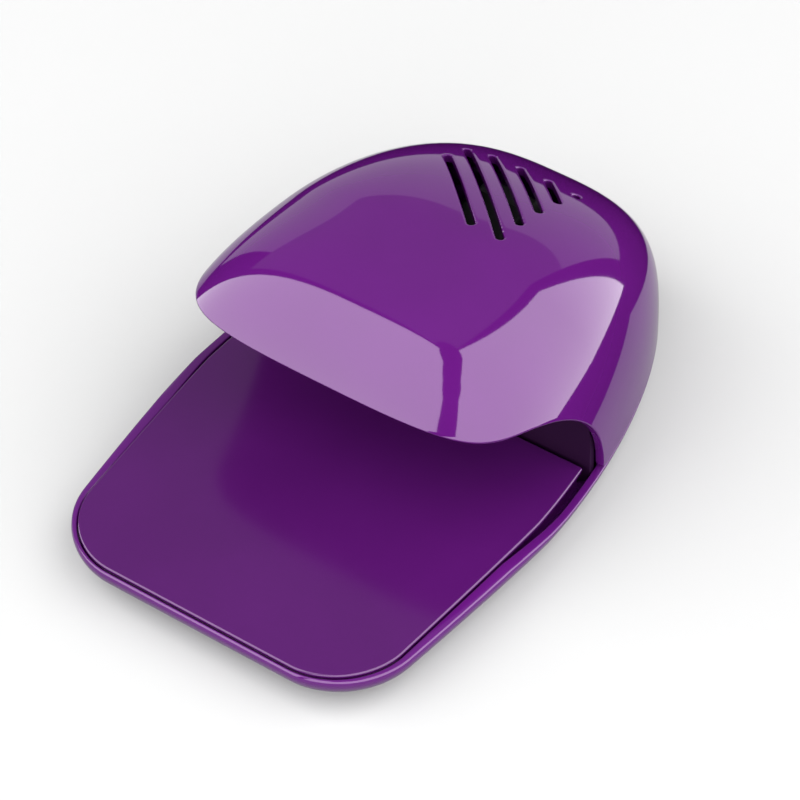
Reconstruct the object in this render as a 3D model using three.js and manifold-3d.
// A nail polish fan dryer: a sprung finger plate under a moulded hood, with a small battery fan behind.
// Lengths are millimetres. +X is right, +Y is back, +Z is up, and the rubber feet stand on z = 0.
import * as THREE from 'three';
import { mergeVertices, toCreasedNormals } from 'three/addons/utils/BufferGeometryUtils.js';
import Module from 'manifold-3d';

const wasm = await Module();
wasm.setup();

// The housing in plan: it widens from the front edge and closes round the back.
const bodyLength = 150;
const frontHalfWidth = 41.5;
const widestHalfWidth = 48.4;
const widestY = -10.8;
const frontCornerRadius = 17.5;
const flankPower = 1.25;
const rearRunPower = 1.82;
const rearWidthPower = 2.56;

// The housing from the side. The bowl is the hollow inside the base.
const footHeight = 1.2;
const rimHeight = 9;
const wall = 2;
const floorThickness = 2;
const hullSpread = 13;
const bowlSpread = 6.5;

// The hood: roof line, visor, cross-section and the arched mouth that is cut from its sides.
const hoodHeight = 56;
const roofPeakY = 12.9;
const visorFrontY = -30.8;
const visorFlare = 0.2;
const visorCornerRadius = 16.5;
const visorCornerShare = 0.1;
const visorPower = 1.58;
const frontRunPower = 3.72;
const frontRisePower = 3.24;
const backRunPower = 1.76;
const backRisePower = 1.89;
const sectionSidePower = 2.94;
const sectionRoofPower = 3.11;
const lipHeight = 40.8;
const mouthRearY = 11.8;
const lipRunPower = 2.84;
const lipRisePower = 1.92;

// The vent: parallel diagonal slots that a rectangle on the roof cuts off.
const ventHalfWidth = 14.6;
const ventFrontY = 19.2;
const ventRearY = 50;
const ventDiagonalY = 33.6;
const ventPitch = 7.5;
const slotWidth = 2;
const firstSlot = -1;
const lastSlot = 4;

// Fits between pieces that stay put, and between a piece and the seat that it moves against.
const seatGap = 0.3;
const fitGap = 0.3;

// The finger plate, its trunnions and the ears that carry them.
const plateGap = 0.5;
const rimLip = 0.9;
const plateSideRoom = 2.4;
const plateThickness = 1.8;
const plateProud = 1.7;
const plateEdgeRadius = 0.8;
const plateRearY = 8;
const plateTilt = 0.8;
const pivotY = 4;
const pivotZ = 6;
const trunnionRadius = 1.2;
const trunnionWall = 1;
const lugInnerX = 30;
const lugWidth = 2.4;
const earWidth = 2.2;
const tailStopHalfWidth = 12;
const tailStopWidth = 1.5;
const plateRibX = 21;
const plateRibWidth = 1.2;
const plateRibHeight = 1.2;
const plateRibFrontInset = 17;
const plateRibRearInset = 10;

// The return springs under the plate.
const springX = 13;
const springInset = 19;
const springRadius = 2.4;
const springWire = 0.5;
const springTurns = 4;
const springNubRadius = 1.6;
const springNubHeight = 1;

// The push switch under the plate.
const switchInset = 31;
const switchHalfSize = 4;
const switchHeight = 3.2;
const plungerRadius = 1.6;
const plungerSunk = 0.5;

// The fan: outlet wall with louvres, duct, impeller.
const outletGap = 1;
const outletThickness = 2;
const fanHeight = 35;
const ductRadius = 16.2;
const ductWall = 1.4;
const ductLength = 8.5;
const louvreThickness = 1;
const louvrePitch = 3.6;
const louvreCount = 8;
const railX = 38;
const railWidth = 3;
const railThickness = 1.2;
const railHeight = 4.5;
const impellerTipGap = 0.8;
const impellerFrontGap = 1;
const impellerLength = 6.4;
const hubRadius = 5;
const hubNoseLength = 1.6;
const bladeCount = 5;
const bladeThickness = 1.1;
const bladeRootChord = 7.4;
const bladeTipChord = 11;
const bladeRootPitch = 56;
const bladeTipPitch = 28;

// The motor and the bar that carries it behind the duct.
const mountThickness = 1.6;
const mountBossX = 20.8;
const mountBossRadius = 2.8;
const mountBarHeight = 6;
const mountHubRadius = 9;
const motorRadius = 10;
const motorFlatHalf = 7.7;
const motorLength = 20;
const motorNoseRadius = 3.1;
const motorNoseLength = 1.3;
const motorCapLength = 4.6;
const motorCapInset = 0.5;
const shaftRadius = 1;
const shaftSocketDepth = 6;
const terminalX = 5;
const terminalWidth = 2.4;
const terminalThickness = 0.5;
const terminalLength = 3.8;

// Two size AA cells lie side by side across the base, under the motor.
const cellRadius = 7.1;
const cellLength = 50;
const cellNubRadius = 2.7;
const cellNubLength = 1.2;
const cellShoulder = 0.7;
const cellGap = 0.4;
const bayWall = 1.5;
const contactThickness = 0.5;
const contactHalfSize = 4.6;
const contactSpringLength = 2.8;
const contactWire = 0.7;
const contactWideRadius = 4;
const contactNarrowRadius = 2.4;
const contactTurns = 2.5;
const contactTabWidth = 3;
const contactTabHeight = 5;

// The battery cover in the floor. Its front edge is a round hinge bead.
const coverThickness = 1.5;
const coverLedge = 0.8;
const coverRise = 0.3;
const coverGripWidth = 12;
const coverGripDepth = 3;
const coverGripHeight = 0.5;

// Feet and screws.
const footRadius = 4;
const footFrontX = 23;
const footFrontInset = 20;
const footRearX = 12;
const footRearInset = 18.5;
const footEdge = 0.4;
const caseScrewSideInset = 9.9;
const caseScrewFrontY = 18;
const caseScrewRearX = 21.5;
const caseScrewRearInset = 18;
const screwRadius = 1;
const screwHeadRadius = 2;
const screwHeadHeight = 1.2;
const screwSeatDepth = 3.5;
const screwLength = 12;
const postRadius = 3.6;
const bossHeight = 12;
const bossWebWidth = 1.4;
const smallScrewRadius = 0.8;
const smallScrewHeadRadius = 1.5;
const smallScrewHeadHeight = 0.7;
const smallScrewDepth = 3;
const motorScrewX = 5.8;
const mountScrewLength = 6;

// The three leads.
const leadRadius = 0.65;
const leadRise = 1;
const leadNotchX = 26;
const leadNotchHalfWidth = 3;
const leadNotchHeight = 3;
const leadSideGap = 2.15;
const leadRoofRise = 3;
const leadSwing = 3;

// Cuts run past the faces that they open. Counts set how finely the round forms are divided.
const overrun = 4;
const hoodFrontStations = 8;
const rearStations = 13;
const sectionSteps = 24;
const cornerSteps = 6;
const flankSteps = 6;
const hullSteps = 5;
const lipSteps = 12;
const roundSides = 20;
const wideSides = 36;
const smallSides = 12;
const bladeStations = 3;
const bladeSides = 8;
const edgeSteps = 3;
const coilSides = 5;
const coilStepsPerTurn = 8;
const leadSides = 6;
const leadStepsPerPlace = 4;
const creaseAngle = 0.6;
const firstStationAngle = 12;
const lastStationAngle = 1.5;

const radians = THREE.MathUtils.degToRad;
const clamp = THREE.MathUtils.clamp;
const point = (x, y, z) => new THREE.Vector3(x, y, z);

// Heights and places that follow from the sizes above.
const frontY = -bodyLength / 2;
const rearY = bodyLength / 2;
const springY = frontY + springInset;
const switchY = frontY + switchInset;
const footFrontY = frontY + footFrontInset;
const footRearY = rearY - footRearInset;
const caseScrewFrontX = widestHalfWidth - caseScrewSideInset;
const caseScrewRearY = rearY - caseScrewRearInset;
const floorZ = footHeight + floorThickness;
const plateTop = rimHeight + plateProud;
const plateBottom = plateTop - plateThickness;
const lugOuterX = lugInnerX + lugWidth;
const earInnerX = lugOuterX + 2 * seatGap;
const outletY = plateRearY + outletGap;
const ductStartY = outletY + outletThickness;
const ductEndY = ductStartY + ductLength;
const ductOuterRadius = ductRadius + ductWall;
const impellerY = ductStartY + impellerFrontGap;
const motorY = ductEndY + mountThickness;
const motorCapY = motorY + motorLength;
const motorEndY = motorCapY + motorCapLength;
const cellZ = footHeight + coverThickness + coverRise + cellRadius;
const bayRadius = cellRadius + cellGap;
const bayOuterRadius = bayRadius + bayWall;
const ductClearRise = fanHeight - ductOuterRadius - seatGap - cellZ;
const cellFrontY = ductEndY + Math.sqrt(Math.max(bayOuterRadius ** 2 - ductClearRise ** 2, 0));
const cellRearY = cellFrontY + 2 * bayRadius;
const bayHalfLength = (cellLength + contactSpringLength) / 2 + contactThickness + seatGap;
const coverFrontY = cellFrontY - bayRadius - coverLedge;
const coverBackY = cellRearY + bayRadius + coverLedge;
const coverHalfLength = bayHalfLength + coverLedge;
const screwSeatZ = footHeight + screwSeatDepth;
const leadZ = floorZ + leadRise;
const leadSideX = bayHalfLength + bayWall + leadSideGap + leadRadius;
const plungerTravel = (pivotY - switchY) * Math.tan(radians(plateTilt));
const switchBoreDepth = plungerSunk + plungerTravel + fitGap;

// Solids: joined and cut closed meshes.
function toSolid(geometry) {
  const bare = geometry.clone();
  bare.deleteAttribute('normal');
  bare.deleteAttribute('uv');
  const merged = mergeVertices(bare);
  const corners = merged.index.array;
  const kept = [];
  for (let i = 0; i < corners.length; i += 3) {
    const [a, b, c] = [corners[i], corners[i + 1], corners[i + 2]];
    if (a !== b && b !== c && c !== a) kept.push(a, b, c);
  }
  return new wasm.Manifold(new wasm.Mesh({
    numProp: 3,
    vertProperties: Float32Array.from(merged.attributes.position.array),
    triVerts: Uint32Array.from(kept),
  }));
}

function toGeometry(solid) {
  const mesh = solid.getMesh();
  const geometry = new THREE.BufferGeometry();
  geometry.setAttribute('position', new THREE.BufferAttribute(Float32Array.from(mesh.vertProperties), 3));
  geometry.setIndex(new THREE.BufferAttribute(Uint32Array.from(mesh.triVerts), 1));
  return toCreasedNormals(geometry, creaseAngle);
}

const join = (first, ...others) => others.reduce((whole, piece) => whole.add(piece), first);
const cut = (first, ...others) => others.reduce((whole, piece) => whole.subtract(piece), first);
const common = (first, second) => first.intersect(second);
const mirrored = (make) => join(make(1), make(-1));

// A closed skin over rings of as many points each, with a fan of faces over each end.
function loft(rings) {
  const count = rings[0].length;
  const places = rings.flat();
  const faces = [];
  for (let r = 0; r + 1 < rings.length; r += 1) {
    for (let i = 0; i < count; i += 1) {
      const j = (i + 1) % count;
      const [a, b, c, d] = [r * count + i, r * count + j, (r + 1) * count + j, (r + 1) * count + i];
      faces.push(a, b, c, a, c, d);
    }
  }
  const cover = (ring, start, turned) => {
    const middle = ring.reduce((sum, p) => sum.add(p), point(0, 0, 0)).divideScalar(count);
    const centre = places.push(middle) - 1;
    for (let i = 0; i < count; i += 1) {
      const [a, b] = [start + i, start + (i + 1) % count];
      faces.push(centre, ...(turned ? [b, a] : [a, b]));
    }
  };
  cover(rings[0], 0, true);
  cover(rings[rings.length - 1], (rings.length - 1) * count, false);
  const geometry = new THREE.BufferGeometry().setFromPoints(places);
  geometry.setIndex(signedVolume(places, faces) < 0 ? faces.reverse() : faces);
  return toSolid(geometry);
}

function signedVolume(places, faces) {
  let sum = 0;
  for (let i = 0; i < faces.length; i += 3) {
    const [a, b, c] = [places[faces[i]], places[faces[i + 1]], places[faces[i + 2]]];
    sum += a.dot(b.clone().cross(c));
  }
  return sum;
}

function box(x0, x1, y0, y1, z0, z1) {
  const geometry = new THREE.BoxGeometry(x1 - x0, y1 - y0, z1 - z0);
  return toSolid(geometry.translate((x0 + x1) / 2, (y0 + y1) / 2, (z0 + z1) / 2));
}

// A box on each side of the centre plane.
const boxPair = (x0, x1, y0, y1, z0, z1) =>
  join(box(x0, x1, y0, y1, z0, z1), box(-x1, -x0, y0, y1, z0, z1));

function rodX(radius, x0, x1, y, z, sides = roundSides) {
  const geometry = new THREE.CylinderGeometry(radius, radius, x1 - x0, sides).rotateZ(Math.PI / 2);
  return toSolid(geometry.translate((x0 + x1) / 2, y, z));
}

function rodY(radius, y0, y1, x, z, sides = roundSides) {
  return toSolid(new THREE.CylinderGeometry(radius, radius, y1 - y0, sides).translate(x, (y0 + y1) / 2, z));
}

function rodZ(radius, z0, z1, x, y, sides = roundSides) {
  const geometry = new THREE.CylinderGeometry(radius, radius, z1 - z0, sides).rotateX(Math.PI / 2);
  return toSolid(geometry.translate(x, y, (z0 + z1) / 2));
}

// A shape drawn in side view as (y, z), pushed through from x0 to x1.
function sideProfile(outline, x0, x1) {
  const shape = new THREE.Shape(outline.map(([y, z]) => new THREE.Vector2(y, z)));
  const geometry = new THREE.ExtrudeGeometry(shape, { depth: x1 - x0, bevelEnabled: false });
  const turn = new THREE.Matrix4().makeBasis(point(0, 1, 0), point(0, 0, 1), point(1, 0, 0));
  return toSolid(geometry.applyMatrix4(turn).translate(x0, 0, 0));
}

function tube(path, radius, steps, sides) {
  const section = new THREE.Shape();
  for (let i = 0; i < sides; i += 1) {
    const angle = i * 2 * Math.PI / sides;
    const corner = [radius * Math.cos(angle), radius * Math.sin(angle)];
    if (i === 0) section.moveTo(...corner);
    else section.lineTo(...corner);
  }
  return toSolid(new THREE.ExtrudeGeometry(section, { steps, extrudePath: path, bevelEnabled: false }));
}

// A rising coil. Its axis is +Z, and its radius goes evenly from the first to the second.
class Coil extends THREE.Curve {
  constructor(firstRadius, secondRadius, height, turns) {
    super();
    Object.assign(this, { firstRadius, secondRadius, height, turns });
  }

  getPoint(t) {
    const angle = t * this.turns * 2 * Math.PI;
    const radius = THREE.MathUtils.lerp(this.firstRadius, this.secondRadius, t);
    return point(radius * Math.cos(angle), radius * Math.sin(angle), t * this.height);
  }
}

// The plan outline: half width of the housing at a depth.
function rearHalfWidth(y, inset) {
  const run = clamp((y - widestY) / (rearY - inset - widestY), 0, 1);
  return (widestHalfWidth - inset) * (1 - run ** rearRunPower) ** (1 / rearWidthPower);
}

function baseHalfWidth(y) {
  if (y > widestY) return rearHalfWidth(y, 0);
  const run = (y - frontY) / (widestY - frontY);
  const flank = frontHalfWidth + (widestHalfWidth - frontHalfWidth) * (1 - (1 - run) ** flankPower);
  const corner = Math.max(frontY + frontCornerRadius - y, 0);
  return flank - frontCornerRadius + Math.sqrt(frontCornerRadius ** 2 - corner ** 2);
}

const rearStation = (angle, inset) =>
  widestY + (rearY - inset - widestY) * Math.cos(radians(angle)) ** (2 / rearRunPower);

function baseOutline() {
  const depths = [];
  for (let i = 0; i < cornerSteps; i += 1) {
    depths.push(frontY + frontCornerRadius * (1 - Math.cos(i / cornerSteps * Math.PI / 2)));
  }
  const flankStart = frontY + frontCornerRadius;
  for (let i = 0; i < flankSteps; i += 1) {
    depths.push(flankStart + (widestY - flankStart) * i / flankSteps);
  }
  for (let i = 0; i <= rearStations; i += 1) {
    depths.push(rearStation(THREE.MathUtils.lerp(90, lastStationAngle, i / rearStations), 0));
  }
  const right = depths.map((y) => new THREE.Vector2(baseHalfWidth(y), y));
  const left = right.map((p) => new THREE.Vector2(-p.x, p.y)).reverse();
  return [...right, ...left];
}

const outline = baseOutline();

// The outline drawn in, each edge moved square to itself by a distance that may change with depth.
function insetOutline(insetAt) {
  const count = outline.length;
  const normal = (a, b) => new THREE.Vector2(b.y - a.y, a.x - b.x).normalize();
  return outline.map((p, i) => {
    const before = normal(outline[(i + count - 1) % count], p);
    const after = normal(p, outline[(i + 1) % count]);
    const reach = insetAt(p.y) / (1 + before.dot(after));
    return p.clone().sub(before.add(after).multiplyScalar(reach));
  });
}

const planRing = (inset, z) => insetOutline(() => inset).map((p) => point(p.x, p.y, z));

// The plate keeps close to the rim's lip at the front and leaves more room beside the hood's foot.
function plateInset(y) {
  const run = clamp((y - frontY) / (plateRearY - frontY), 0, 1);
  return rimLip + plateGap + plateSideRoom * (1 - (1 - run) ** 2);
}

function plateRing(drawnIn, z) {
  return insetOutline((y) => plateInset(y) + drawnIn).map((p) => point(p.x, p.y, z));
}

// A bowl that narrows from its mouth to a flat bottom along a quarter ellipse.
function bowl(mouthInset, spread, mouthZ, bottomZ, topZ) {
  const rings = [];
  for (let i = 0; i <= hullSteps; i += 1) {
    const angle = (1 - i / hullSteps) * Math.PI / 2;
    const inset = mouthInset + spread * (1 - Math.cos(angle));
    rings.push(planRing(inset, mouthZ - (mouthZ - bottomZ) * Math.sin(angle)));
  }
  if (topZ > mouthZ) rings.push(planRing(mouthInset, topZ));
  return loft(rings);
}

const hull = (topZ) => bowl(0, hullSpread, rimHeight, footHeight, topZ);
const bowlRoom = (gap) => bowl(wall + gap, bowlSpread, rimHeight, floorZ + gap, rimHeight + overrun);

// The hood's dome, drawn in by a distance on every side and carried down by a skirt.
function domeHalfWidth(y, inset) {
  if (y > widestY) return rearHalfWidth(y, inset);
  const front = visorFrontY + inset;
  const run = clamp((widestY - y) / (widestY - front), 0, 1);
  const side = widestHalfWidth + visorFlare * run ** visorPower - inset;
  const corner = clamp((front + visorCornerRadius - y) / visorCornerRadius, 0, 1);
  return side * (1 - visorCornerShare * (1 - Math.sqrt(1 - corner ** 2)));
}

function roofHeight(y, inset) {
  const rise = hoodHeight - inset - rimHeight;
  if (y < roofPeakY) {
    const run = clamp((roofPeakY - y) / (roofPeakY - visorFrontY - inset), 0, 1);
    return rimHeight + rise * (1 - run ** frontRunPower) ** (1 / frontRisePower);
  }
  const run = clamp((y - roofPeakY) / (rearY - inset - roofPeakY), 0, 1);
  return rimHeight + rise * (1 - run ** backRunPower) ** (1 / backRisePower);
}

function domeStations(inset) {
  const stations = [];
  const frontRun = roofPeakY - visorFrontY - inset;
  const lastRunShare = (roofPeakY - widestY) / frontRun;
  const lastAngle = THREE.MathUtils.radToDeg(Math.acos(clamp(lastRunShare, 0, 1) ** (frontRunPower / 2)));
  for (let i = 0; i < hoodFrontStations; i += 1) {
    const angle = THREE.MathUtils.lerp(firstStationAngle, lastAngle, i / hoodFrontStations);
    stations.push(roofPeakY - frontRun * Math.cos(radians(angle)) ** (2 / frontRunPower));
  }
  for (let i = 0; i <= rearStations; i += 1) {
    stations.push(rearStation(THREE.MathUtils.lerp(90, lastStationAngle, i / rearStations), inset));
  }
  return stations;
}

function dome(inset, skirt) {
  return loft(domeStations(inset).map((y) => {
    const halfWidth = domeHalfWidth(y, inset);
    const rise = roofHeight(y, inset) - rimHeight;
    const ring = [];
    for (let i = 0; i <= sectionSteps; i += 1) {
      const angle = i / sectionSteps * Math.PI;
      const across = Math.abs(Math.cos(angle)) ** (2 / sectionSidePower) * Math.sign(Math.cos(angle));
      const up = Math.sin(angle) ** (2 / sectionRoofPower);
      ring.push(point(halfWidth * across, y, rimHeight + rise * (i % sectionSteps ? up : 0)));
    }
    if (skirt > 0) {
      ring.push(point(-halfWidth, y, rimHeight - skirt));
      ring.push(point(halfWidth, y, rimHeight - skirt));
    }
    return ring;
  }));
}

// What the mouth takes from the dome: all that lies under the arch of the lip.
function mouthTool() {
  const run = mouthRearY - visorFrontY;
  const arch = [];
  for (let i = 0; i <= lipSteps; i += 1) {
    const angle = i / lipSteps * Math.PI / 2;
    const y = mouthRearY - run * (1 - Math.cos(angle) ** (2 / lipRunPower));
    arch.push([y, rimHeight + (lipHeight - rimHeight) * Math.sin(angle) ** (2 / lipRisePower)]);
  }
  const front = visorFrontY - overrun;
  arch.push([front, lipHeight], [front, rimHeight - overrun], [mouthRearY, rimHeight - overrun]);
  return sideProfile(arch, -widestHalfWidth - overrun, widestHalfWidth + overrun);
}

// One vent slot: the piece of a diagonal line inside the vent's rectangle, with round ends.
function slotTool(step) {
  const crossing = ventDiagonalY + step * ventPitch;
  const startX = Math.max(-ventHalfWidth, crossing - ventRearY);
  const endX = Math.min(ventHalfWidth, crossing - ventFrontY);
  const length = Math.max((endX - startX) * Math.SQRT2 - slotWidth, 0);
  const shape = new THREE.Shape();
  shape.absarc(length / 2, 0, slotWidth / 2, -Math.PI / 2, Math.PI / 2);
  if (length > 0) shape.absarc(-length / 2, 0, slotWidth / 2, Math.PI / 2, 3 * Math.PI / 2);
  else shape.absarc(0, 0, slotWidth / 2, Math.PI / 2, 3 * Math.PI / 2);
  const depth = hoodHeight + overrun - fanHeight;
  const fineness = { depth, bevelEnabled: false, curveSegments: smallSides / 2 };
  const geometry = new THREE.ExtrudeGeometry(shape, fineness);
  const middleX = (startX + endX) / 2;
  return toSolid(geometry.rotateZ(-Math.PI / 4).translate(middleX, crossing - middleX, fanHeight));
}

function slotTools() {
  const tools = [];
  for (let step = firstSlot; step <= lastSlot; step += 1) tools.push(slotTool(step));
  return tools;
}

const caseScrewPlaces = [
  [caseScrewFrontX, caseScrewFrontY],
  [-caseScrewFrontX, caseScrewFrontY],
  [caseScrewRearX, caseScrewRearY],
  [-caseScrewRearX, caseScrewRearY],
];

// The hood takes the case screws in bosses that thin webs tie to its side walls.
function topHood() {
  const shell = cut(dome(0, 0), dome(wall, overrun), mouthTool());
  const bossTop = rimHeight + bossHeight;
  const bosses = caseScrewPlaces.map(([x, y]) => {
    const outer = Math.sign(x) * (widestHalfWidth + overrun);
    const web = box(Math.min(x, outer), Math.max(x, outer), y - bossWebWidth / 2, y + bossWebWidth / 2,
      rimHeight, bossTop);
    return join(rodZ(postRadius, rimHeight, bossTop, x, y), web);
  });
  const bores = caseScrewPlaces.map(([x, y]) =>
    rodZ(screwRadius + fitGap, rimHeight - overrun, screwSeatZ + screwLength + seatGap, x, y, smallSides));
  return cut(join(shell, common(join(...bosses), dome(0, 0))), ...slotTools(), ...bores);
}

// The base: a bowl with a battery bay, screw posts, plate ears, a tail stop and rails for the fan wall.
function bayBlock() {
  const reach = bayHalfLength + bayWall;
  const tops = [cellFrontY, cellRearY].map((y) => rodX(bayOuterRadius, -reach, reach, y, cellZ, wideSides));
  return join(box(-reach, reach, cellFrontY - bayOuterRadius, cellRearY + bayOuterRadius, footHeight, cellZ),
    ...tops);
}

function bayHollow() {
  const tops = [cellFrontY, cellRearY].map((y) =>
    rodX(bayRadius, -bayHalfLength, bayHalfLength, y, cellZ, wideSides));
  return join(box(-bayHalfLength, bayHalfLength, cellFrontY - bayRadius, cellRearY + bayRadius,
    footHeight - overrun, cellZ), ...tops);
}

function coverRecess() {
  return box(-coverHalfLength - fitGap, coverHalfLength + fitGap, coverFrontY - fitGap, coverBackY + fitGap,
    footHeight - overrun, footHeight + coverThickness + coverRise);
}

function plateEars() {
  const halfDepth = trunnionRadius + fitGap + trunnionWall;
  const top = pivotZ + halfDepth;
  return boxPair(earInnerX, earInnerX + earWidth, pivotY - halfDepth, pivotY + halfDepth, footHeight, top);
}

function outletRails() {
  const [x0, x1] = [railX, railX + railWidth];
  const top = floorZ + railHeight;
  const front = outletY - fitGap;
  const back = ductStartY + fitGap;
  return join(boxPair(x0, x1, front - railThickness, front, footHeight, top),
    boxPair(x0, x1, back, back + railThickness, footHeight, top));
}

function springCup(side) {
  return rodZ(springRadius - springWire, footHeight, floorZ + springNubHeight, side * springX, springY,
    smallSides);
}

function tailStop() {
  return box(-tailStopHalfWidth, tailStopHalfWidth, plateRearY - tailStopWidth, plateRearY,
    footHeight, plateBottom - seatGap);
}

// Slots at the bay's ends, where the contacts' solder tabs and the link between the cells stand.
function tabSlots() {
  const half = contactTabWidth / 2 + fitGap;
  const top = cellZ + bayOuterRadius + overrun;
  const slotAt = (y, side) => {
    const [inner, outer] = [bayHalfLength - contactThickness - fitGap, bayHalfLength];
    const [x0, x1] = side > 0 ? [inner, outer] : [-outer, -inner];
    return box(x0, x1, y - half, y + half, cellZ, top);
  };
  const linkSlot = box(-bayHalfLength, fitGap + contactThickness - bayHalfLength, cellFrontY, cellRearY,
    cellZ - contactHalfSize, cellZ + contactHalfSize + fitGap);
  return [slotAt(cellFrontY, 1), slotAt(cellRearY, 1), linkSlot];
}

// Where the plate comes close to the rim, the wall is thinned to a lip that the plate sinks past.
function plateRoom() {
  const sink = (pivotY - frontY) * Math.tan(radians(plateTilt)) + seatGap;
  return loft([plateRing(-plateGap, plateBottom - sink), plateRing(-plateGap, rimHeight + overrun)]);
}

function baseShell() {
  const shell = cut(hull(rimHeight), bowlRoom(0), aheadOfPlateRear(plateRoom()));
  const posts = caseScrewPlaces.map(([x, y]) => rodZ(postRadius, footHeight, rimHeight, x, y));
  const fittings = join(bayBlock(), ...posts, plateEars(), outletRails(), mirrored(springCup), tailStop());
  const holes = caseScrewPlaces.flatMap(([x, y]) => [
    rodZ(screwRadius + fitGap, 0, rimHeight + overrun, x, y, smallSides),
    rodZ(screwHeadRadius + fitGap, -overrun, screwSeatZ, x, y, smallSides),
  ]);
  const pivots = mirrored((side) => {
    const [x0, x1] = [side * (earInnerX - overrun), side * (earInnerX + earWidth + overrun)];
    return rodX(trunnionRadius + fitGap, Math.min(x0, x1), Math.max(x0, x1), pivotY, pivotZ, smallSides);
  });
  const whole = join(shell, common(fittings, hull(hoodHeight)));
  return cut(whole, bayHollow(), coverRecess(), pivots, ...tabSlots(), ...holes);
}

// What lies in front of the plate's back edge.
function aheadOfPlateRear(solid) {
  const room = box(-widestHalfWidth, widestHalfWidth, frontY, plateRearY, 0, plateTop + overrun);
  return common(solid, room);
}

// The finger plate has a rounded edge, and lugs with trunnions under its back edge.
function pressPlate() {
  const chamfer = plateEdgeRadius / 2;
  const rings = [plateRing(chamfer, plateBottom), plateRing(0, plateBottom + chamfer)];
  for (let i = 0; i <= edgeSteps; i += 1) {
    const angle = i / edgeSteps * Math.PI / 2;
    const drawnIn = plateEdgeRadius * (1 - Math.cos(angle));
    rings.push(plateRing(drawnIn, plateTop - plateEdgeRadius * (1 - Math.sin(angle))));
  }
  const lugHalf = trunnionRadius + trunnionWall;
  const lugs = boxPair(lugInnerX, lugOuterX, pivotY - lugHalf, pivotY + lugHalf,
    pivotZ - lugHalf, plateTop - plateEdgeRadius);
  const trunnions = mirrored((side) => {
    const [x0, x1] = [side * lugInnerX, side * (earInnerX + earWidth)];
    return rodX(trunnionRadius, Math.min(x0, x1), Math.max(x0, x1), pivotY, pivotZ, smallSides);
  });
  const ribs = boxPair(plateRibX - plateRibWidth / 2, plateRibX + plateRibWidth / 2,
    frontY + plateRibFrontInset, pivotY - plateRibRearInset, plateBottom - plateRibHeight,
    plateBottom + chamfer);
  const nubs = mirrored((side) => rodZ(springNubRadius, plateBottom - springNubHeight,
    plateBottom + chamfer, side * springX, springY, smallSides));
  return join(aheadOfPlateRear(loft(rings)), lugs, trunnions, ribs, nubs);
}

function plateSpring(side) {
  const base = floorZ + springWire / 2;
  const height = plateBottom - seatGap - springWire / 2 - base;
  const coil = new Coil(springRadius, springRadius, height, springTurns);
  const spring = tube(coil, springWire / 2, springTurns * coilStepsPerTurn, coilSides);
  return spring.translate([side * springX, springY, base]);
}

function switchBody() {
  const top = floorZ + switchHeight;
  const body = box(-switchHalfSize, switchHalfSize, switchY - switchHalfSize, switchY + switchHalfSize,
    floorZ, top);
  return cut(body, rodZ(plungerRadius + fitGap, top - switchBoreDepth, top + overrun, 0, switchY));
}

function switchPlunger() {
  const bottom = floorZ + switchHeight - plungerSunk;
  return rodZ(plungerRadius, bottom, plateBottom - seatGap, 0, switchY);
}

// The fan wall fills the housing's section. Its round outlet has level louvres and a duct behind.
function fanFrame() {
  const room = join(dome(wall + seatGap, 0), bowlRoom(seatGap));
  const slab = box(-widestHalfWidth, widestHalfWidth, outletY, ductStartY, 0, hoodHeight);
  const outlet = rodY(ductRadius, outletY - overrun, ductEndY + overrun, 0, fanHeight, wideSides);
  const duct = rodY(ductOuterRadius, outletY, ductEndY, 0, fanHeight, wideSides);
  const bosses = mirrored((side) => rodY(mountBossRadius, outletY, ductEndY, side * mountBossX, fanHeight));
  const bores = mirrored((side) => rodY(screwRadius + fitGap, ductEndY - mountScrewLength, ductEndY + overrun,
    side * mountBossX, fanHeight, smallSides));
  const bars = [];
  for (let i = 0; i < louvreCount; i += 1) {
    const z = fanHeight + (i - (louvreCount - 1) / 2) * louvrePitch;
    bars.push(box(-ductOuterRadius, ductOuterRadius, outletY, ductStartY, z - louvreThickness / 2,
      z + louvreThickness / 2));
  }
  const louvres = common(join(...bars), duct);
  const notches = boxPair(leadNotchX - leadNotchHalfWidth, leadNotchX + leadNotchHalfWidth,
    outletY - overrun, ductStartY + overrun, 0, floorZ + leadNotchHeight);
  return cut(join(cut(join(common(room, slab), duct, bosses), outlet), louvres), bores, notches);
}

// A twisted blade, reaching past the tip circle that trims it.
function blade(turn) {
  const rings = [];
  const tipRadius = ductRadius - impellerTipGap;
  for (let i = 0; i <= bladeStations; i += 1) {
    const share = i / bladeStations;
    const radius = THREE.MathUtils.lerp(hubRadius / 2, tipRadius + ductWall, share);
    const chord = THREE.MathUtils.lerp(bladeRootChord, bladeTipChord, share) / 2;
    const pitch = radians(THREE.MathUtils.lerp(bladeRootPitch, bladeTipPitch, share));
    const ring = [];
    for (let k = 0; k < bladeSides; k += 1) {
      const angle = k / bladeSides * 2 * Math.PI;
      const along = chord * Math.cos(angle);
      const through = bladeThickness / 2 * Math.sin(angle);
      ring.push(point(radius, along * Math.sin(pitch) + through * Math.cos(pitch),
        along * Math.cos(pitch) - through * Math.sin(pitch)).applyAxisAngle(point(0, 1, 0), turn));
    }
    rings.push(ring);
  }
  return loft(rings);
}

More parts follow.
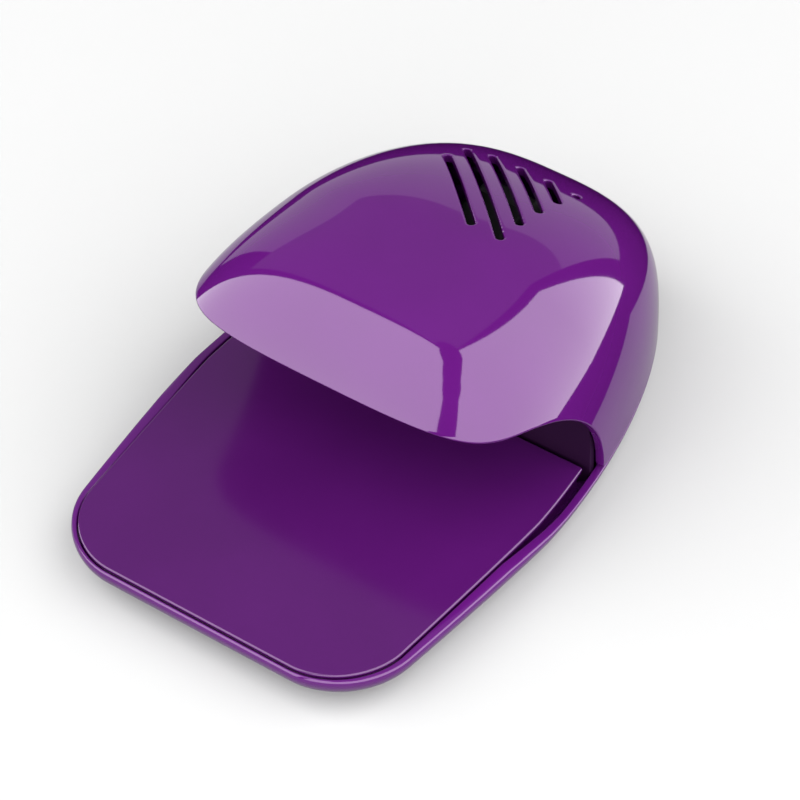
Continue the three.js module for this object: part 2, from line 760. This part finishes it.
function impeller() {
  const middle = impellerY + impellerLength / 2;
  const blades = [];
  for (let i = 0; i < bladeCount; i += 1) blades.push(blade(i / bladeCount * 2 * Math.PI));
  const trim = rodY(ductRadius - impellerTipGap, -impellerLength / 2, impellerLength / 2, 0, 0, wideSides);
  const profile = [
    new THREE.Vector2(0, -impellerLength / 2),
    new THREE.Vector2(hubRadius - hubNoseLength, -impellerLength / 2),
    new THREE.Vector2(hubRadius, -impellerLength / 2 + hubNoseLength),
    new THREE.Vector2(hubRadius, impellerLength / 2),
    new THREE.Vector2(0, impellerLength / 2),
  ];
  const hub = toSolid(new THREE.LatheGeometry(profile, roundSides));
  const bore = rodY(shaftRadius + fitGap, -impellerLength / 2 + hubNoseLength, overrun + impellerLength, 0, 0,
    smallSides);
  return cut(join(common(join(...blades), trim), hub), bore).translate([0, middle, fanHeight]);
}

function motorShaft() {
  const start = impellerY + hubNoseLength + seatGap;
  return rodY(shaftRadius, start, motorY + shaftSocketDepth - seatGap, 0, fanHeight, smallSides);
}

function motorMount() {
  const bar = box(-mountBossX, mountBossX, ductEndY, motorY, fanHeight - mountBarHeight / 2,
    fanHeight + mountBarHeight / 2);
  const ears = mirrored((side) => rodY(mountBossRadius, ductEndY, motorY, side * mountBossX, fanHeight));
  const hub = rodY(mountHubRadius, ductEndY, motorY, 0, fanHeight, wideSides);
  const holeAt = (x, radius) => rodY(radius, ductEndY - overrun, motorY + overrun, x, fanHeight, smallSides);
  const holes = mirrored((side) => join(holeAt(side * mountBossX, screwRadius + fitGap),
    holeAt(side * motorScrewX, smallScrewRadius + fitGap)));
  const nose = rodY(motorNoseRadius + fitGap, ductEndY - overrun, motorY + overrun, 0, fanHeight);
  return cut(join(bar, ears, hub), holes, nose);
}

function flattened(body, half, y0, y1) {
  return common(body, box(-motorRadius, motorRadius, y0, y1, fanHeight - half, fanHeight + half));
}

function motorCan() {
  const can = flattened(rodY(motorRadius, motorY, motorCapY, 0, fanHeight, wideSides), motorFlatHalf,
    motorY, motorCapY);
  const nose = rodY(motorNoseRadius, motorY - motorNoseLength, motorY + seatGap, 0, fanHeight);
  const socket = rodY(shaftRadius + fitGap, motorY - overrun, motorY + shaftSocketDepth, 0, fanHeight,
    smallSides);
  const taps = mirrored((side) => rodY(smallScrewRadius + fitGap, motorY - overrun,
    motorY + smallScrewDepth + seatGap, side * motorScrewX, fanHeight, smallSides));
  return cut(join(can, nose), socket, taps);
}

function motorEndCap() {
  const body = flattened(rodY(motorRadius - motorCapInset, motorCapY, motorEndY, 0, fanHeight, wideSides),
    motorFlatHalf - motorCapInset, motorCapY, motorEndY);
  return join(body, rodY(motorNoseRadius, motorEndY - seatGap, motorEndY + motorNoseLength, 0, fanHeight));
}

function motorTerminal(side) {
  const x = side * terminalX;
  return box(x - terminalWidth / 2, x + terminalWidth / 2, motorEndY, motorEndY + terminalLength,
    fanHeight - terminalThickness / 2, fanHeight + terminalThickness / 2);
}

// Screws with flat round heads, pointing along +Z or along Y.
function caseScrew(x, y) {
  return join(rodZ(screwHeadRadius, screwSeatZ - screwHeadHeight, screwSeatZ, x, y, smallSides),
    rodZ(screwRadius, screwSeatZ - screwHeadHeight / 2, screwSeatZ + screwLength, x, y, smallSides));
}

function mountScrew(side) {
  const x = side * mountBossX;
  const tip = ductEndY - mountScrewLength + seatGap;
  return join(rodY(screwHeadRadius, motorY, motorY + screwHeadHeight, x, fanHeight, smallSides),
    rodY(screwRadius, tip, motorY + screwHeadHeight / 2, x, fanHeight, smallSides));
}

function motorScrew(side) {
  const x = side * motorScrewX;
  const head = ductEndY - smallScrewHeadHeight;
  return join(rodY(smallScrewHeadRadius, head, ductEndY, x, fanHeight, smallSides),
    rodY(smallScrewRadius, ductEndY - smallScrewHeadHeight / 2, motorY + smallScrewDepth, x, fanHeight,
      smallSides));
}

// A cell lies along X. Its nub points to the given side, and its flat end meets a contact spring.
function cell(side, y) {
  const nubEnd = bayHalfLength - contactThickness - seatGap;
  const can = cellLength - cellNubLength;
  const profile = [
    [0, 0],
    [cellRadius - cellShoulder, 0],
    [cellRadius, cellShoulder],
    [cellRadius, can - cellShoulder],
    [cellRadius - cellShoulder, can],
    [cellNubRadius, can],
    [cellNubRadius, cellLength],
    [0, cellLength],
  ].map(([radius, height]) => new THREE.Vector2(radius, height));
  const lathe = new THREE.LatheGeometry(profile, roundSides).translate(0, -cellLength, 0);
  return toSolid(lathe.rotateZ(-side * Math.PI / 2)).translate([side * nubEnd, y, cellZ]);
}

// A contact plate at one end of the bay, with a solder tab or a spring where it has one.
function contactPlate(side, y0, y1, springY0, tabY0) {
  const outer = side * bayHalfLength;
  const inner = side * (bayHalfLength - contactThickness);
  const [x0, x1] = [Math.min(inner, outer), Math.max(inner, outer)];
  let plate = box(x0, x1, y0, y1, cellZ - contactHalfSize, cellZ + contactHalfSize);
  if (tabY0 !== null) {
    const half = contactTabWidth / 2;
    const top = cellZ + bayOuterRadius + contactTabHeight - contactHalfSize;
    plate = join(plate, box(x0, x1, tabY0 - half, tabY0 + half, cellZ, top));
  }
  if (springY0 !== null) {
    const coil = new Coil(contactWideRadius, contactNarrowRadius, contactSpringLength - contactWire / 2,
      contactTurns);
    const spring = tube(coil, contactWire / 2, contactTurns * coilStepsPerTurn, coilSides);
    const place = [side * (bayHalfLength - contactThickness), springY0, cellZ];
    plate = join(plate, spring.rotate([0, -side * 90, 0]).translate(place));
  }
  return plate;
}

function batteryCover() {
  const bead = coverThickness / 2;
  const panel = join(
    box(-coverHalfLength, coverHalfLength, coverFrontY + bead, coverBackY, footHeight,
      footHeight + coverThickness),
    rodX(bead, -coverHalfLength, coverHalfLength, coverFrontY + bead, footHeight + bead),
  );
  const gripY = coverBackY - 2 * coverGripDepth;
  const grip = box(-coverGripWidth / 2, coverGripWidth / 2, gripY, gripY + coverGripDepth,
    footHeight - overrun, footHeight + coverGripHeight);
  return cut(common(panel, hull(rimHeight)), grip);
}

function foot(x, y) {
  const profile = [
    new THREE.Vector2(0, 0),
    new THREE.Vector2(footRadius - footEdge, 0),
    new THREE.Vector2(footRadius, footEdge),
    new THREE.Vector2(footRadius, footHeight),
    new THREE.Vector2(0, footHeight),
  ];
  return toSolid(new THREE.LatheGeometry(profile, roundSides).rotateX(Math.PI / 2)).translate([x, y, 0]);
}

function lead(places) {
  const path = new THREE.CatmullRomCurve3(places.map((place) => point(...place)), false, 'centripetal');
  return tube(path, leadRadius, places.length * leadStepsPerPlace, leadSides);
}

// Where the leads meet the switch, the contact tabs and the motor's terminals.
const leadRoofZ = cellZ + bayOuterRadius + leadRoofRise;
const tabX = bayHalfLength - contactThickness / 2;
const terminalY = motorEndY + terminalLength / 2;
const terminalTouch = terminalThickness / 2 + leadRadius + seatGap;
const switchTouch = switchHalfSize + leadRadius + seatGap;
const leadBehindY = ductStartY + railThickness + leadRadius + 2 * fitGap;

const leadPositive = () => lead([
  [switchTouch, switchY + switchHalfSize, leadZ],
  [switchTouch + leadRise, switchY + 3 * switchHalfSize, leadZ],
  [leadNotchX, pivotY - 2 * switchHalfSize, leadZ],
  [leadNotchX, outletY, leadZ],
  [leadNotchX + leadRise, ductStartY + leadRadius, leadZ],
  [leadSideX, leadBehindY, leadZ + leadRise],
  [leadSideX, cellFrontY - bayRadius / 2, cellZ + bayOuterRadius / 2],
  [leadSideX - leadRise, cellFrontY, cellZ + bayOuterRadius],
  [tabX + contactThickness / 2 + leadRadius + seatGap, cellFrontY, cellZ + bayOuterRadius + leadRise],
]);

const leadSwitched = () => lead([
  [-switchTouch, switchY + switchHalfSize, leadZ],
  [-switchTouch - leadRise, switchY + 3 * switchHalfSize, leadZ],
  [-leadNotchX, pivotY - 2 * switchHalfSize, leadZ],
  [-leadNotchX, outletY, leadZ],
  [-leadNotchX - leadRise, ductStartY + leadRadius, leadZ],
  [-leadSideX, leadBehindY, leadZ + leadRise],
  [-leadSideX, cellFrontY - bayRadius / 2, cellZ + bayOuterRadius / 2],
  [-leadSideX + leadRise, cellFrontY + bayRadius, leadRoofZ],
  [-mountBossX, cellRearY, leadRoofZ + leadRise],
  [-terminalX - leadSwing, terminalY + leadRise, fanHeight - motorRadius],
  [-terminalX, terminalY, fanHeight - terminalTouch],
]);

const leadNegative = () => lead([
  [tabX + contactThickness / 2 + leadRadius + seatGap, cellRearY, cellZ + bayOuterRadius + leadRise],
  [bayHalfLength, cellRearY + bayRadius / 2, leadRoofZ],
  [mountBossX, cellRearY + bayRadius / 2, leadRoofZ + leadRise],
  [terminalX + leadSwing, terminalY + leadRise, fanHeight - motorRadius],
  [terminalX, terminalY, fanHeight - terminalTouch],
]);

// Finishes.
const finish = (color, roughness, metalness = 0) =>
  new THREE.MeshStandardMaterial({ color, roughness, metalness });
const glossPurple = finish(0x63187a, 0.16);
const platePurple = finish(0x5a1572, 0.2);
const darkPurple = finish(0x2a0838, 0.4);
const blackPlastic = finish(0x17161a, 0.5);
const whiteNylon = finish(0xe4e0d8, 0.45);
const steel = finish(0xb9bcc0, 0.3, 0.9);
const plating = finish(0xd0ccc0, 0.28, 0.9);
const brass = finish(0xc9a24a, 0.3, 0.9);
const rubber = finish(0x202022, 0.85);
const cellSleeve = finish(0x3d6b4f, 0.35, 0.2);
const redVinyl = finish(0xb3261e, 0.5);
const blackVinyl = finish(0x1b1b1d, 0.5);
const whiteVinyl = finish(0xe9e7e2, 0.5);

const dryer = new THREE.Group();

function add(name, solid, material) {
  const mesh = new THREE.Mesh(toGeometry(solid), material);
  mesh.name = name;
  dryer.add(mesh);
}

add('top_hood', topHood(), glossPurple);
add('base_shell', baseShell(), glossPurple);
add('press_plate', pressPlate(), platePurple);
add('switch_body', switchBody(), blackPlastic);
add('switch_plunger', switchPlunger(), whiteNylon);
add('fan_frame', fanFrame(), darkPurple);
add('impeller', impeller(), blackPlastic);
add('motor_shaft', motorShaft(), steel);
add('motor_mount', motorMount(), darkPurple);
add('motor_can', motorCan(), steel);
add('motor_end_cap', motorEndCap(), whiteNylon);
for (const [side, sideName] of [[-1, 'left'], [1, 'right']]) {
  add(`plate_spring_${sideName}`, plateSpring(side), steel);
  add(`motor_terminal_${sideName}`, motorTerminal(side), brass);
  add(`motor_screw_${sideName}`, motorScrew(side), steel);
  add(`mount_screw_${sideName}`, mountScrew(side), steel);
  add(`foot_front_${sideName}`, foot(side * footFrontX, footFrontY), rubber);
  add(`foot_rear_${sideName}`, foot(side * footRearX, footRearY), rubber);
  add(`case_screw_front_${sideName}`, caseScrew(side * caseScrewFrontX, caseScrewFrontY), steel);
  add(`case_screw_rear_${sideName}`, caseScrew(side * caseScrewRearX, caseScrewRearY), steel);
}
add('battery_front', cell(1, cellFrontY), cellSleeve);
add('battery_rear', cell(-1, cellRearY), cellSleeve);
add('contact_positive', contactPlate(1, cellFrontY - contactHalfSize, cellFrontY + contactHalfSize,
  null, cellFrontY), plating);
add('contact_negative', contactPlate(1, cellRearY - contactHalfSize, cellRearY + contactHalfSize,
  cellRearY, cellRearY), plating);
add('contact_link', contactPlate(-1, cellFrontY - contactHalfSize, cellRearY + contactHalfSize,
  cellFrontY, null), plating);
add('battery_cover', batteryCover(), glossPurple);
add('lead_positive', leadPositive(), redVinyl);
add('lead_switched', leadSwitched(), whiteVinyl);
add('lead_negative', leadNegative(), blackVinyl);

export default dryer;
